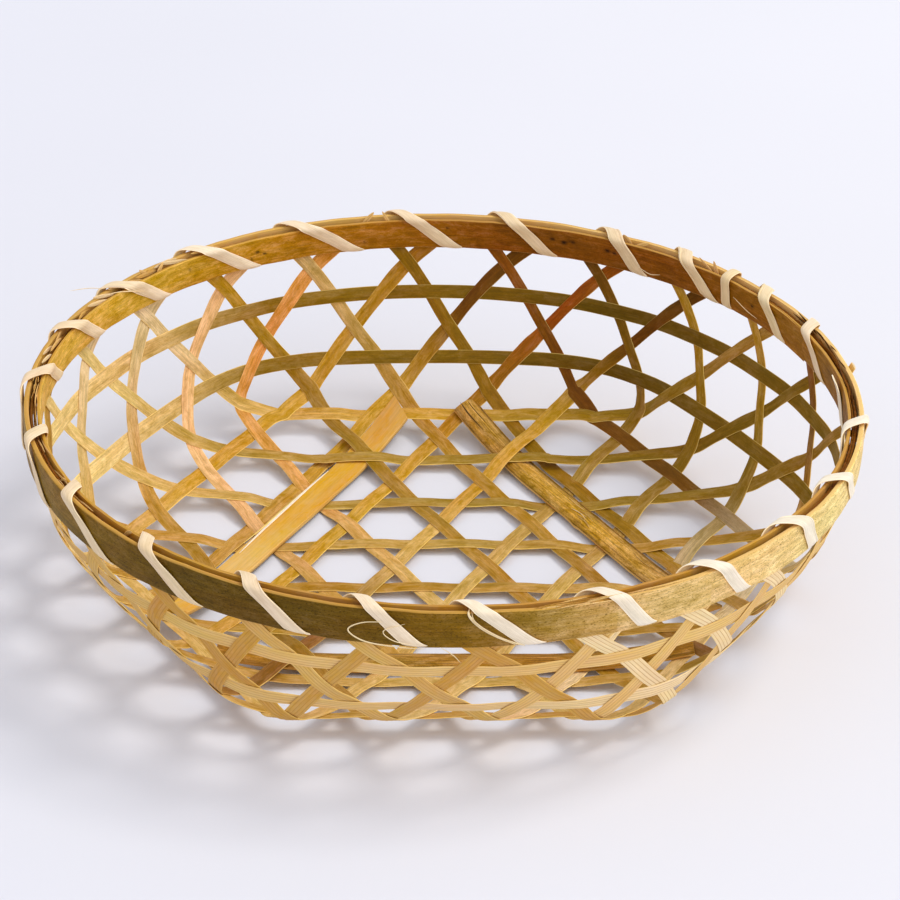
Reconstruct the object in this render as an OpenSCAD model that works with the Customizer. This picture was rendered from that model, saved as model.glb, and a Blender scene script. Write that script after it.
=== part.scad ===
// Winnowing basket: a shallow open basket of split bamboo.
// Three families of strips cross at 60 degrees in an open hexagonal weave.
// Six five-sided meshes, one at each corner of the base, turn the flat weave up into the wall.
// Origin: on the surface the basket stands on, below the middle of the base. +X along its length.

/* [Basket] */
// Outside length of the rim, along X
rim_length = 283; // [250:1:320]
// Outside width of the rim, along Y
rim_width = 271; // [240:1:305]
// Height of the rim's top edge above the surface the basket stands on
basket_h = 70.8; // [64:0.2:78]

/* [Weave] */
// Width of a weaving strip
strip_w = 5.7; // [4.5:0.1:6.2]
// Thickness of a weaving strip
strip_t = 0.8; // [0.5:0.05:0.9]
// Clear gap between two strips where they cross
weave_gap = 0.25; // [0.1:0.05:0.4]

/* [Rim] */
// Height of the outer rim hoop
outer_hoop_h = 12.6; // [10:0.1:14]
// Thickness of the outer rim hoop
outer_hoop_t = 2; // [1.2:0.1:2.4]
// Height of the inner rim hoop
inner_hoop_h = 11; // [9:0.1:12]
// Thickness of the inner rim hoop
inner_hoop_t = 1.5; // [1:0.1:2]
// Height of the thin filler splints above the strip ends
filler_h = 3.6; // [2:0.1:4.4]
// Width of the lashing splint
lashing_w = 4; // [3:0.1:5]
// Thickness of the lashing splint
lashing_t = 0.6; // [0.4:0.05:0.8]

/* [Base slats] */
// Width of a base slat
slat_w = 10.2; // [8:0.1:10.6]
// Thickness of a base slat at its crown
slat_t = 1.7; // [1.3:0.1:2]
// Length of a base slat
slat_length = 158; // [120:1:162]
// How far the slats press the strips below them down; the rest of the base stands this much higher
slat_press = 1.8; // [1:0.1:2.4]

/* [Hidden] */
// The weave repeats this often: meshes from the middle of the base to each corner mesh
corner_mesh = 4;
sectors = 6;
wraps = sectors * corner_mesh;
// Pitch is the distance between the middles of neighbouring meshes, row the distance between parallel strips
pitch = rim_length / 8.72;
row = pitch * sin(60);
mean_length = (rim_length + rim_width) / 2;

// Layers of the rim, measured inwards from its outer face
filler_zone = 2.7;
rim_t = outer_hoop_t + filler_zone + inner_hoop_t;
weave_r = mean_length / 2 - outer_hoop_t - filler_zone / 2;
oval = (rim_length - rim_width) / (rim_length + rim_width);
rim_clear = 0.2;

// Half the height difference of two crossing strips
wave = (strip_t + weave_gap) / 2;
// Height of the middle surface where it touches the ground below a slat, and over the rest of the base
contact_z = wave + strip_t / 2;
base_z = contact_z + slat_press;
wall_h = basket_h - base_z;

// Side profile of the weave, one line per level:
// rows from the middle, distance from the axis in pitches, height as a share of the wall,
// roundness of the plan (0 hexagon, 1 circle), easing of the hexagon's corners in pitches,
// share of the rim's oval, and the clockwise twist that the weaver's pull has left in the wall, in degrees
profile = [
    [0.0, 0.000, 0.000, 0.00, 0.0, 0.0, 0.0],
    [2.0, 1.732, 0.000, 0.00, 0.0, 0.0, 0.2],
    [3.0, 2.605, 0.028, 0.00, 0.0, 0.3, 0.6],
    [3.5, 3.060, 0.062, 0.02, 0.2, 0.8, 1.0],
    [4.0, 3.390, 0.138, 0.06, 0.5, 1.3, 1.6],
    [4.5, 3.650, 0.280, 0.35, 0.8, 1.6, 2.1],
    [5.0, 3.845, 0.425, 0.55, 1.0, 1.6, 2.5],
    [5.5, 4.010, 0.590, 0.85, 1.0, 1.5, 3.0],
    [6.0, 4.130, 0.740, 0.95, 1.0, 1.2, 3.6],
    [6.5, weave_r / pitch, 0.870, 1.00, 1.0, 1.0, 4.2],
    [7.0, weave_r / pitch, 1.000, 1.00, 1.0, 1.0, 4.6]
];

// Strips run this many rows up from the middle, and end between the rim hoops below the fillers
last_row = 6.62;
// A strip stays level over this far on each side of a crossing, in pitches
plateau = 0.13;
// Rows of the two closed hoops woven into the wall
lower_row = 4.5;
upper_row = 5.5;
hoop_crossings = 2 * wraps;

// Slats: distance of a slat's middle line from the basket's middle, in pitches
slat_out = 1.85;
slat_edge_t = 0.8;
slat_z = 2 * contact_z + 0.1;
// Direction of each slat and how far its middle is shifted along it, in pitches
slat_places = [[240, -0.015], [120, 0.09], [0, 0.1]];
// A slat is level up to this far from its middle, and then bends up with the weave: pitches, mm per pitch squared
slat_level = 0.97;
slat_bend = 2.85;
// The weave lies against a slat this near its middle line, and is free of it this far away, in pitches;
// it comes free this far before the slat's end and is quite free just past it
press_near = 0.25;
press_far = 0.4;
press_end = 0.55;
press_past = 0.1;
// Two strips pass over each slat at one crossing: [family angle, offset in rows, place along the strip]
bridges = [
    [0, 2.5, -0.75], [-60, 0.5, -2.25],
    [0, 2.5, 0.75], [60, 0.5, 2.25],
    [-60, -2.5, 0.75], [60, 0.5, -2.25]
];
bridge_h = slat_z + slat_t + 0.15;
bridge_flat = 0.19;
bridge_end = 0.38;
// The slat's middle line lies this much further along those strips than their crossing
bridge_shift = (slat_out - 2 * sin(60)) / sin(60);
bridge_mid = (bridge_flat + bridge_end) / 2;

families = [["across", 0], ["right", -60], ["left", 60]];
offsets = [-3.5, -2.5, -1.5, -0.5, 0.5, 1.5, 2.5, 3.5];

// ---------- small vector and blending helpers ----------
function unit(v) = v / norm(v);
function clamp01(x) = min(1, max(0, x));
function smooth(x) = x * x * (3 - 2 * x);
function mix(a, b, f) = a + (b - a) * f;
function sum(list) = [for (v = list) 1] * list;

// ---------- the basket's middle surface ----------
// Value of one profile column at s rows, as a smooth curve through the levels
function level(i) = profile[min(len(profile) - 1, max(0, i))];
function level_slope(i, col) =
    (level(i + 1)[col] - level(i - 1)[col]) / max(0.01, level(i + 1)[0] - level(i - 1)[0]);
function level_below(s, i = 0) = i + 2 < len(profile) && profile[i + 1][0] <= s ? level_below(s, i + 1) : i;
function at_row(s, col) =
    let (i = level_below(s))
    let (span = level(i + 1)[0] - level(i)[0])
    let (x = (s - level(i)[0]) / span)
    let (first = level(i)[col], last = level(i + 1)[col])
    let (rise_0 = i == 0 ? (last - first) : level_slope(i, col) * span)
    let (rise_1 = level_slope(i + 1, col) * span)
    mix(first, last, smooth(x)) + x * (1 - x) * ((1 - x) * rise_0 - x * rise_1);

// A point of a hexagon with the apothem r; turn is the angle-like place round it
function hexagon_point(r, turn) =
    let (side = floor(turn / 60))
    let (middle = 60 * side + 30)
    let (along = r * tan(30) * ((turn - 60 * side) / 30 - 1))
    [r * cos(middle) - along * sin(middle), r * sin(middle) + along * cos(middle)];

// The same hexagon with its corners eased over a window of turn on each side
function eased_hexagon(r, turn, window) =
    window < 0.01 ? hexagon_point(r, turn)
    : sum([for (k = [-1 : 0.25 : 1]) hexagon_point(r, turn + k * window)]) / 9;

// Middle surface of the weave without slats, at s rows from the middle and the place turn round the basket
function free_skin(s, turn) =
    let (r = at_row(s, 1) * pitch, around = turn - at_row(s, 6))
    let (half_side = max(0.1, min(s, corner_mesh)) * row * tan(30))
    let (window = at_row(s, 4) * pitch / half_side * 30)
    let (plan = mix(eased_hexagon(r, around, window), r * [cos(around), sin(around)], at_row(s, 3)))
    let (stretch = oval * at_row(s, 5))
    [plan[0] * (1 + stretch), plan[1] * (1 - stretch), base_z + wall_h * at_row(s, 2)];

// How far a slat has bent up at a distance from its middle
function slat_rise(along) = slat_bend * pow(max(0, abs(along) / pitch - slat_level), 2);
// Height of the weave at a place of the plan when a slat presses it down from its free height z
function pressed_z(slat, x, y, z) =
    let (along = x * cos(slat[0]) + y * sin(slat[0]))
    let (away = abs(y * cos(slat[0]) - x * sin(slat[0]) + slat_out * pitch) / pitch)
    let (past = (abs(along - slat[1] * pitch) - slat_length / 2) / pitch)
    let (beside = smooth(clamp01((away - press_near) / (press_far - press_near))))
    let (beyond = smooth(clamp01((past + press_end) / (press_past + press_end))))
    mix(z, min(z, contact_z + slat_rise(along)), (1 - beside) * (1 - beyond));
// Middle surface of the weave, pressed down by the slats
function skin(s, turn) =
    let (place = free_skin(s, turn))
    [place[0], place[1], min([for (slat = slat_places) pressed_z(slat, place[0], place[1], place[2])])];

// Unit normal of the free surface, pointing into the basket
function skin_normal(s, turn) =
    s < 2.2 ? [0, 0, 1]
    : unit(cross(free_skin(s + 0.05, turn) - free_skin(s - 0.05, turn),
                 free_skin(s, turn + 1) - free_skin(s, turn - 1)));

// ---------- bands swept along a path ----------
// Four corners of a band at a place: half sizes are half the width and half the thickness
function band_ring(place, direction, normal, half_w, half_t) =
    let (side = unit(cross(direction, normal)) * half_w)
    let (up = unit(cross(side, direction)) * half_t)
    [place - side - up, place + side - up, place + side + up, place - side + up];

// Faces between two neighbouring rings of n corners
function side_faces(i, k, n) = [
    for (j = [0 : n - 1])
        let (a = n * i + j, b = n * i + (j + 1) % n, c = n * k + (j + 1) % n, d = n * k + j)
        each [[a, b, c], [a, c, d]]
];

module open_band(rings) {
    n = len(rings[0]);
    last = n * (len(rings) - 1);
    sides = [for (i = [0 : len(rings) - 2]) each side_faces(i, i + 1, n)];
    ends = [[for (j = [n - 1 : -1 : 0]) j], [for (j = [0 : n - 1]) last + j]];
    polyhedron(points = [for (r = rings) each r], faces = concat(sides, ends));
}

module closed_band(rings) {
    n = len(rings[0]);
    sides = [for (i = [0 : len(rings) - 1]) each side_faces(i, (i + 1) % len(rings), n)];
    polyhedron(points = [for (r = rings) each r], faces = sides);
}

// ---------- weaving strips ----------
// Rows and turn of the place v along a strip at an offset of o rows, for the family along X
function quarter_place(o, v) =
    let (exit = corner_mesh - o / 2)
    v > exit
    ? [corner_mesh + v - exit, 30 + 15 * (o - 2 - (v - exit) / 2)]
    : let (y = o * sin(60), angle = atan2(y, v), side = floor(angle / 60))
      let (middle = 60 * side + 30)
      let (apothem = v * cos(middle) + y * sin(middle), along = y * cos(middle) - v * sin(middle))
      [apothem / sin(60), middle + 30 * along / (apothem * tan(30))];
function strip_place(o, v) =
    let (place = quarter_place(abs(o), abs(v)))
    let (turn = o < 0 ? -place[1] : place[1])
    [place[0], v < 0 ? 180 - turn : turn];

// Crossings are numbered along a strip; even sums pass over, odd sums pass under
function crossing_v(i) = (i + 0.5) / 2;
function passes_over(i, o) = (i + round(o - 0.5)) % 2 == 0;
function bridge_place(b) = b[2] + sign(b[2]) * bridge_shift;
function bridge_share(angle, o, v) =
    max([for (b = bridges) b[0] == angle && b[1] == o
        ? 1 - smooth(clamp01((abs(v - bridge_place(b)) - bridge_flat) / (bridge_end - bridge_flat))) : 0]);

// Height of a strip above the middle surface: level over a crossing, then a straight slope to the next
function wave_height(o, v) =
    let (i = round(2 * v - 0.5))
    let (slope = min(1, (0.25 - abs(v - crossing_v(i))) / (0.25 - plateau)))
    (passes_over(i, o) ? wave : -wave) * slope;
// Places of the rings along a strip: where it is level over each crossing, and more where it climbs over a slat
function wave_rings(o, end) =
    let (first = ceil(-2 * end - 0.5), last = floor(2 * end - 0.5))
    [for (i = [first : last]) each [crossing_v(i) - plateau, crossing_v(i) + plateau]];
function bridge_rings(angle, o) =
    [for (b = bridges) if (b[0] == angle && b[1] == o)
        for (k = [-bridge_end, -bridge_mid, -bridge_flat, bridge_flat, bridge_mid, bridge_end])
            bridge_place(b) + k];
function sorted(list) =
    len(list) < 2 ? list
    : let (pivot = list[floor(len(list) / 2)])
      concat(sorted([for (x = list) if (x < pivot) x]), [pivot], sorted([for (x = list) if (x > pivot) x]));

function strip_centre(o, angle, v, height) =
    let (place = strip_place(o, v))
    let (lift = height + bridge_h * bridge_share(angle, o, v))
    skin(place[0], place[1] + angle) + lift * skin_normal(place[0], place[1] + angle);
function strip_ring(o, angle, v) =
    let (place = strip_place(o, v), height = wave_height(o, v))
    let (direction = strip_centre(o, angle, v + 0.02, height) - strip_centre(o, angle, v - 0.02, height))
    band_ring(strip_centre(o, angle, v, height), direction, skin_normal(place[0], place[1] + angle),
              strip_w / 2, strip_t / 2);

module strip(angle, o) {
    end = last_row - abs(o) / 2;
    steps = sorted(concat(wave_rings(o, end - plateau), bridge_rings(angle, o), [-end, end]));
    color(o > 1 ? "#b9a24a" : o < -1 ? "#d8c27a" : "#a8923c")
        open_band([for (v = steps) strip_ring(o, angle, v)]);
}

// ---------- hoops woven into the wall ----------
module wall_hoop(s, first_over) {
    rings = [
        for (i = [0 : hoop_crossings - 1])
            let (up = (i % 2 == 0) == first_over ? wave : -wave)
            for (k = [-plateau, plateau])
                let (turn = 15 * (crossing_v(i) + k))
                let (normal = skin_normal(s, turn))
                band_ring(skin(s, turn) + up * normal, skin(s, turn + 1) - skin(s, turn - 1), normal,
                          strip_w / 2, strip_t / 2)
    ];
    color("#c9b05c")
        closed_band(rings);
}

// ---------- rim ----------
// Point of an oval ring: inset is measured inwards from the rim's outer face
function rim_point(angle, inset, z) =
    [(rim_length / 2 - inset) * cos(angle), (rim_width / 2 - inset) * sin(angle), z];
function rim_outward(angle) = unit([rim_width * cos(angle), rim_length * sin(angle), 0]);
function rim_along(angle) = unit([-rim_length * sin(angle), rim_width * cos(angle), 0]);
rim_rings = 96;

module rim_band(inset, thickness, top, height, tone) {
    rings = [
        for (i = [0 : rim_rings - 1])
            let (angle = 360 * i / rim_rings)
            band_ring(rim_point(angle, inset + thickness / 2, top - height / 2), rim_along(angle),
                      -rim_outward(angle), height / 2, thickness / 2)
    ];
    color(tone)
        closed_band(rings);
}
module rim_outer_hoop() {
    rim_band(0, outer_hoop_t, basket_h, outer_hoop_h, "#8f8136");
}
module rim_inner_hoop() {
    rim_band(outer_hoop_t + filler_zone, inner_hoop_t, basket_h - 0.3, inner_hoop_h, "#b08a3a");
}
filler_t = (filler_zone - 3 * rim_clear) / 2;
module rim_filler_outer() {
    rim_band(outer_hoop_t + rim_clear, filler_t, basket_h - 0.4, filler_h, "#9c6b2e");
}
module rim_filler_inner() {
    rim_band(outer_hoop_t + 2 * rim_clear + filler_t, filler_t, basket_h - 0.8, filler_h - 0.4, "#a8783a");
}

// The lashing's path round the rim: [inset from the outer face, drop below the top, turn of the outline's normal]
lash_gap = lashing_t / 2 + 0.12;
lash_outline = [
    [0, 0, 60], [0, 0, 15],
    [0, outer_hoop_h * 0.35, 0], [0, outer_hoop_h * 0.7, 0],
    [0, outer_hoop_h, -15], [0, outer_hoop_h, -60],
    [rim_t, inner_hoop_h + 0.3, -120], [rim_t, inner_hoop_h + 0.3, -165],
    [rim_t, inner_hoop_h * 0.65, -180], [rim_t, inner_hoop_h * 0.3, -180],
    [rim_t, 0.3, -195], [rim_t, 0.3, -240]
];
// Share of one wrap reached at each of those points
lash_share = [0, 0.02, 0.15, 0.27, 0.39, 0.41, 0.52, 0.54, 0.66, 0.78, 0.88, 0.9];
lash_points = len(lash_outline);
// The splint passes under the rim where a mesh is open: at this share of a wrap, and as far round as the twist
lash_under = 0.465;
lash_twist = 3.9;

function lash_angle(n) =
    let (wrap = floor(n / lash_points))
    360 / wraps * (wrap + lash_share[n - wrap * lash_points] - lash_under) - lash_twist;
function lash_place(n) =
    let (line = lash_outline[n % lash_points])
    rim_point(lash_angle(n), line[0] - lash_gap * cos(line[2]), basket_h - line[1] + lash_gap * sin(line[2]));
// The splint's edges are cut off along the rim, so it folds flat over the rim's edges
function lash_ring(n) =
    let (tilt = lash_outline[n % lash_points][2], along = rim_along(lash_angle(n)))
    let (direction = unit(lash_place(n + 1) - lash_place(n - 1)))
    let (side = along * lashing_w / 2 / norm(cross(direction, along)))
    let (up = (cos(tilt) * rim_outward(lash_angle(n)) + [0, 0, sin(tilt)]) * lashing_t / 2)
    let (place = lash_place(n))
    [place - side - up, place + side - up, place + side + up, place - side + up];

module rim_lashing() {
    color("#efe3c4")
        open_band([for (n = [1 : wraps * lash_points - 2]) lash_ring(n)]);
}

// ---------- base slats ----------
// A split of a thick culm: flat below, crowned above, bent up at its ends like the weave it lies on
slat_rings = 24;
crown_steps = 6;
function slat_slope(along) = slat_rise(along + 0.5) - slat_rise(along - 0.5);
function slat_ring(along) =
    let (low = [along, -slat_out * pitch, slat_z + slat_rise(along)], up = unit([-slat_slope(along), 0, 1]))
    concat([low - [0, slat_w / 2, 0], low + [0, slat_w / 2, 0]],
           [for (k = [0 : crown_steps])
               let (side = 1 - 2 * k / crown_steps)
               low + [0, side * slat_w / 2, 0] + up * mix(slat_t, slat_edge_t, side * side)]);

module slat(place, tone) {
    middle = place[1] * pitch;
    color(tone)
        rotate([0, 0, place[0]])
            open_band([for (i = [0 : slat_rings]) slat_ring(middle + slat_length * (i / slat_rings - 0.5))]);
}
module slat_left() {
    slat(slat_places[0], "#d3ab4e");
}
module slat_right() {
    slat(slat_places[1], "#8a6d2a");
}
module slat_front() {
    slat(slat_places[2], "#b57a33");
}

// ---------- assembly ----------
for (f = families)
    for (n = [1 : len(offsets)])
        strip(f[1], offsets[n - 1]);
wall_hoop(lower_row, false);  // wall_hoop_lower
wall_hoop(upper_row, true);  // wall_hoop_upper
rim_outer_hoop();
rim_inner_hoop();
rim_filler_outer();
rim_filler_inner();
rim_lashing();
slat_left();
slat_right();
slat_front();
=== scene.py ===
import math

import bpy
import numpy as np
from mathutils import Matrix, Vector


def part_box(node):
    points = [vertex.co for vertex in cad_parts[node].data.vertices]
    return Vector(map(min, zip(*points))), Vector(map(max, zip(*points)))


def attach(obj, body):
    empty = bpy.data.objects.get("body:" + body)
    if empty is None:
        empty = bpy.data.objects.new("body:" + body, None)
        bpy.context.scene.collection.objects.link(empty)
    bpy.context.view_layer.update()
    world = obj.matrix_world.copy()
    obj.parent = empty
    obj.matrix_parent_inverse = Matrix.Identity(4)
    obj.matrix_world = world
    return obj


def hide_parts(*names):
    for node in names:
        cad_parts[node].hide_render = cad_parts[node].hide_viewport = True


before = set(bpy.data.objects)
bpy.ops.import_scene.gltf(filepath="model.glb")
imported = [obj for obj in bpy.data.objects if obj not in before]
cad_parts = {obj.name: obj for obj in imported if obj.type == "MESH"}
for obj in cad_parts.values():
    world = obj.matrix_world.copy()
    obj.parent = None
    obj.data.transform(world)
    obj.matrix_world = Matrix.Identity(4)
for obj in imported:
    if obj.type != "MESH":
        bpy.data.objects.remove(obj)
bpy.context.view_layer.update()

# ---------- sizes in millimetres; the rim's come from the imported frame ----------
MM = 0.001


def node_box(node):
    return np.array(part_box(node)) / MM


rim_low, rim_high = node_box("rim_outer_hoop")
inner_low, inner_high = node_box("rim_inner_hoop")
RIM_LENGTH, RIM_WIDTH, OUTER_H = rim_high - rim_low
INNER_H = inner_high[2] - inner_low[2]
RIM_TOP, INNER_TOP = rim_high[2], inner_high[2]
# Pitch: distance between the middles of two meshes; the weave's rows lie SIN_60 of that apart
RIM_PITCHES = 8.72
PITCH = RIM_LENGTH / RIM_PITCHES
SIN_60 = math.sin(math.pi / 3)
TAN_30 = math.tan(math.pi / 6)
ROW = PITCH * SIN_60
UP = np.array([0.0, 0.0, 1.0])

OUTER_T = 2.0
INNER_T = 1.5
FILLER_ZONE = 2.7
FILLER_T = 1.05
RIM_T = OUTER_T + FILLER_ZONE + INNER_T
WEAVE_R = (RIM_LENGTH + RIM_WIDTH) / 4 - OUTER_T - FILLER_ZONE / 2
OVAL = (RIM_LENGTH - RIM_WIDTH) / (RIM_LENGTH + RIM_WIDTH)

STRIP_W = 5.7
STRIP_T = 0.5
STRIP_CROWN = 0.13
STRIP_EDGE = 0.4
WAVE = 0.26
# Distance between a strip's rings, its sway, and the share its width varies by
STRIP_STEP = 0.9
STRIP_SWAY = 0.18
STRIP_UNEVEN = 0.05
# Strips that climb the back and side walls look narrower: rise per mm and Y over which that sets in, share
# lost, X over which a further share is lost, and that share
CLIMB_RISE = (0.55, 0.8)
CLIMB_Y = (-40, 0)
CLIMB_LOSS = 0.12
CLIMB_X = (-50, 50)
CLIMB_LOSS_RIGHT = 0.2

# The slats press the weave below them down on the ground, so the rest of the base stands this much higher
SLAT_PRESS = 1.8
CONTACT_Z = 0.925
BASE_Z = CONTACT_Z + SLAT_PRESS
WALL_H = RIM_TOP - BASE_Z
SLAT_W = 10.2
SLAT_T = 2.1
SLAT_LENGTH = 158.0
SLAT_CLEAR = 0.05
SLAT_OUT = 1.85
SLAT_Z = CONTACT_Z + WAVE + STRIP_T / 2 + SLAT_CLEAR
# Direction of each slat, and the shift of its middle along it in pitches
SLAT_PLACES = {"left": (240, -0.015), "right": (120, 0.09), "front": (0, 0.1)}
# A slat is level this far from its middle, in pitches, and bends up past it
SLAT_LEVEL = 0.97
SLAT_BEND = 2.85
# The weave is pressed flat this near a slat and free this far from it; the same before and past its ends
PRESS_NEAR = 0.18
PRESS_FAR = 0.62
PRESS_END = 0.55
PRESS_PAST = 0.1
# Strips that pass over a slat: family angle, offset in rows, place along the strip in pitches
BRIDGES = [
    (0, 2.5, -0.75), (-60, 0.5, -2.25),
    (0, 2.5, 0.75), (60, 0.5, 2.25),
    (-60, -2.5, 0.75), (60, 0.5, -2.25),
]
BRIDGE_CLEAR = 0.1
BRIDGE_H = SLAT_Z + SLAT_T + BRIDGE_CLEAR + WAVE + STRIP_T / 2 - BASE_Z
# Reach of a bridge in pitches: flat on the slat, back down on the weave, back down on the pressed weave
BRIDGE_FLAT = 0.16
BRIDGE_END = 0.6
BRIDGE_FREE = 0.75
BRIDGE_SHIFT = (SLAT_OUT - 2 * SIN_60) / SIN_60

LAST_ROW = 6.62
PLATEAU = 0.09
CORNER_MESH = 4
CORNER_SAMPLES = 9
FLAT_ROWS = 2.2
LOWER_ROW = 4.5
UPPER_ROW = 5.5
WRAPS = 24
MESH_TURN = 360 / WRAPS
OFFSETS = [-3.5, -2.5, -1.5, -0.5, 0.5, 1.5, 2.5, 3.5]
FAMILIES = {"across": 0, "right": -60, "left": 60}

# Side profile of the weave: rows from the middle, radius in pitches, share of the wall's height,
# roundness, corner easing in pitches, share of the oval, clockwise twist in degrees
ROWS, RADIUS, HEIGHT, ROUNDNESS, EASING, OVAL_SHARE, TWIST = range(7)
PROFILE = np.array([
    [0.0, 0.000, 0.000, 0.00, 0.0, 0.0, 0.0],
    [2.0, 1.732, 0.000, 0.00, 0.0, 0.0, 0.2],
    [3.0, 2.605, 0.028, 0.00, 0.0, 0.3, 0.6],
    [3.5, 3.060, 0.062, 0.02, 0.2, 0.8, 1.0],
    [4.0, 3.390, 0.138, 0.06, 0.5, 1.3, 1.6],
    [4.5, 3.650, 0.280, 0.35, 0.8, 1.6, 2.1],
    [5.0, 3.845, 0.425, 0.55, 1.0, 1.6, 2.5],
    [5.5, 4.010, 0.590, 0.85, 1.0, 1.5, 3.0],
    [6.0, 4.130, 0.740, 0.95, 1.0, 1.2, 3.6],
    [6.5, WEAVE_R / PITCH, 0.870, 1.00, 1.0, 1.0, 4.2],
    [7.0, WEAVE_R / PITCH, 1.000, 1.00, 1.0, 1.0, 4.6],
])


# ---------- small helpers ----------
def smooth(x, low=0.0, high=1.0):
    """A smooth step from 0 at low to 1 at high."""
    x = np.clip((x - low) / (high - low), 0, 1)
    return x * x * (3 - 2 * x)


def unit(v):
    return v / np.maximum(1e-9, np.linalg.norm(v, axis=-1, keepdims=True))


def cosd(a):
    return np.cos(np.radians(a))


def sind(a):
    return np.sin(np.radians(a))


def linear(colour):
    """Linear colour of an sRGB hex string."""
    parts = np.array([int(colour[i:i + 2], 16) / 255 for i in (1, 3, 5)])
    return np.where(parts <= 0.04045, parts / 12.92, ((parts + 0.055) / 1.055) ** 2.4)


def wobble(x, seed, periods=(3.1, 1.7, 0.9), amounts=(1.0, 0.6, 0.35)):
    """A smooth seeded curve of about -1 to 1 along x, with the given periods."""
    draw = np.random.default_rng(seed)
    total = sum(a * np.sin(2 * np.pi * (x / p + draw.random())) for p, a in zip(periods, amounts))
    return total / sum(amounts)


def add_object(name, data):
    piece = bpy.data.objects.new(name, data)
    bpy.context.scene.collection.objects.link(piece)
    return piece


def aim(piece, x, y, z, place=(0, 0, 0)):
    """Sets an object's axes and place, in metres."""
    piece.matrix_world = Matrix([[x[k], y[k], z[k], place[k]] for k in range(3)] + [[0, 0, 0, 1]])


# ---------- the basket's middle surface ----------
def at_row(s, column):
    """Value of one profile column at s rows, as a smooth curve through the levels."""
    s = np.asarray(s, float)
    i = np.clip(np.searchsorted(PROFILE[:, ROWS], s, side="right") - 1, 0, len(PROFILE) - 2)
    span = PROFILE[i + 1, ROWS] - PROFILE[i, ROWS]
    x = (s - PROFILE[i, ROWS]) / span

    def slope(j):
        below = np.clip(j - 1, 0, len(PROFILE) - 1)
        above = np.clip(j + 1, 0, len(PROFILE) - 1)
        rise = PROFILE[above, column] - PROFILE[below, column]
        return rise / np.maximum(0.01, PROFILE[above, ROWS] - PROFILE[below, ROWS])

    first, last = PROFILE[i, column], PROFILE[i + 1, column]
    rise_0 = np.where(i == 0, last - first, slope(i) * span)
    rise_1 = slope(i + 1) * span
    return first + (last - first) * x * x * (3 - 2 * x) + x * (1 - x) * ((1 - x) * rise_0 - x * rise_1)


def hexagon_point(r, turn):
    side = np.floor(turn / 60)
    middle = 60 * side + 30
    along = r * TAN_30 * ((turn - 60 * side) / 30 - 1)
    return np.stack([r * cosd(middle) - along * sind(middle), r * sind(middle) + along * cosd(middle)], -1)


def free_skin(s, turn):
    """Middle surface without slats, at s rows from the middle and the place turn round the basket."""
    s, turn = np.broadcast_arrays(np.asarray(s, float), np.asarray(turn, float))
    r = at_row(s, RADIUS) * PITCH
    around = turn - at_row(s, TWIST)
    half_side = np.maximum(0.1, np.minimum(s, CORNER_MESH)) * ROW * TAN_30
    window = np.maximum(0, at_row(s, EASING)) * PITCH / half_side * 30
    shifts = np.linspace(-1, 1, CORNER_SAMPLES)
    corners = sum(hexagon_point(r, around + k * window) for k in shifts) / CORNER_SAMPLES
    circle = np.stack([cosd(around), sind(around)], -1) * r[..., None]
    roundness = at_row(s, ROUNDNESS)[..., None]
    plan = corners * (1 - roundness) + circle * roundness
    stretch = OVAL * at_row(s, OVAL_SHARE)
    height = BASE_Z + WALL_H * at_row(s, HEIGHT)
    return np.stack([plan[..., 0] * (1 + stretch), plan[..., 1] * (1 - stretch), height], -1)


def slat_rise(along):
    """How far a slat has bent up at a distance from its middle."""
    return SLAT_BEND * np.maximum(0, np.abs(along) / PITCH - SLAT_LEVEL) ** 2


def skin(s, turn):
    """Middle surface of the weave, pressed down by the slats."""
    place = free_skin(s, turn)
    x, y, z = place[..., 0], place[..., 1], place[..., 2].copy()
    for direction, shift in SLAT_PLACES.values():
        along = x * cosd(direction) + y * sind(direction)
        away = np.abs(y * cosd(direction) - x * sind(direction) + SLAT_OUT * PITCH) / PITCH
        past = (np.abs(along - shift * PITCH) - SLAT_LENGTH / 2) / PITCH
        beside = smooth(away, PRESS_NEAR, PRESS_FAR)
        beyond = smooth(past, -PRESS_END, PRESS_PAST)
        pressed = np.minimum(z, CONTACT_Z + slat_rise(along))
        place[..., 2] = np.minimum(place[..., 2], z + (pressed - z) * (1 - beside) * (1 - beyond))
    return place


def skin_normal(s, turn, row_step=0.05, turn_step=1):
    up = free_skin(s + row_step, turn) - free_skin(s - row_step, turn)
    normal = unit(np.cross(up, free_skin(s, turn + turn_step) - free_skin(s, turn - turn_step)))
    return np.where((s < FLAT_ROWS)[..., None], UP, normal)


def strip_place(offset, v):
    """Rows and turn of the place v along a strip of the family that runs along X."""
    away, along = abs(offset), np.abs(v)
    leaves = CORNER_MESH - away / 2
    y = away * SIN_60
    angle = np.degrees(np.arctan2(y, along))
    middle = 60 * np.floor(angle / 60) + 30
    apothem = along * cosd(middle) + y * sind(middle)
    beside = y * cosd(middle) - along * sind(middle)
    flat_turn = middle + 30 * beside / (apothem * TAN_30)
    wall_turn = 30 + MESH_TURN * (away - 2 - (along - leaves) / 2)
    on_wall = along > leaves
    rows = np.where(on_wall, CORNER_MESH + along - leaves, apothem / SIN_60)
    turn = np.where(on_wall, wall_turn, flat_turn)
    turn = -turn if offset < 0 else turn
    return rows, np.where(v < 0, 180 - turn, turn)


def wave_height(x, parity):
    """Height above the middle surface: level over each crossing, a smooth step between two.

    Crossings are half a pitch apart, the first at a quarter."""
    i = np.round(2 * x - 0.5)
    away = np.abs(x - (i + 0.5) / 2)
    sign = np.where((i + parity) % 2 == 0, 1, -1)
    step = np.clip((away - PLATEAU) / (0.25 - PLATEAU), 0, 1)
    return sign * WAVE * np.cos(step * math.pi / 2)


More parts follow.
